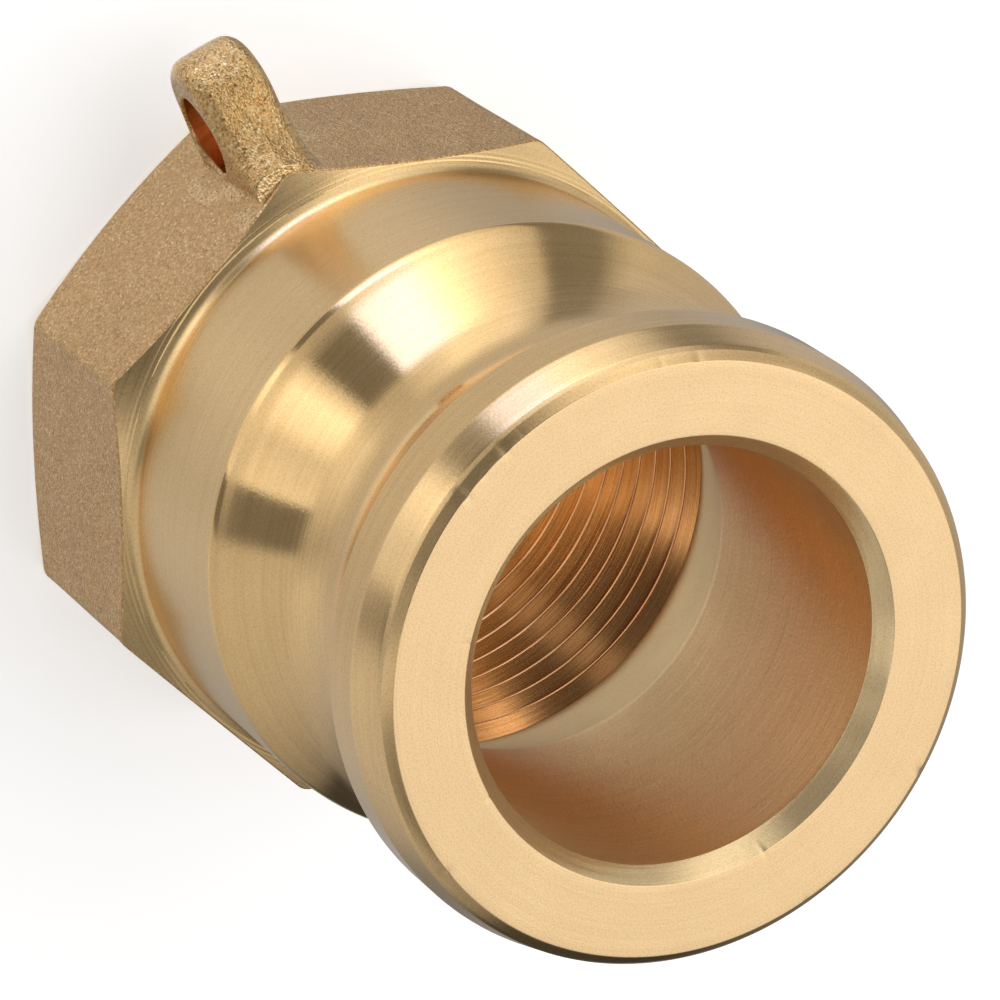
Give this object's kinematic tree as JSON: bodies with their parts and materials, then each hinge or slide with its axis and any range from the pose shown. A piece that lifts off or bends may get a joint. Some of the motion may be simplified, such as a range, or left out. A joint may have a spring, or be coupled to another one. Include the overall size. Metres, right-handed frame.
{
  "type": "cam and groove coupling adapter",
  "caption": "Brass cam and groove coupling adapter with a female pipe thread, a grooved head, an octagonal wrench section and a lanyard lug.",
  "frame": {"origin": "on the flow axis, in the plane of the groove lip that the cam arms pull against, 6.1 mm behind the front sealing face and 44.9 mm in front of the back face", "axes": "+Z along the flow axis towards the front sealing face that enters the coupler, +X towards the lanyard lug, which is on one corner of the octagon"},
  "size_m": [0.0488, 0.042, 0.051],
  "materials": {
    "turned_brass": "turned satin brass with fine tool lines",
    "cast_brass": "blasted sand cast brass",
    "thread_brass": "cut brass thread"
  },
  "bodies": {
    "root": {"cam_head": "turned_brass", "cam_groove_neck": "turned_brass", "shoulder_barrel": "turned_brass", "wrench_octagon": "cast_brass", "lanyard_lug": "cast_brass", "pipe_thread": "thread_brass"}
  },
  "joints": []
}
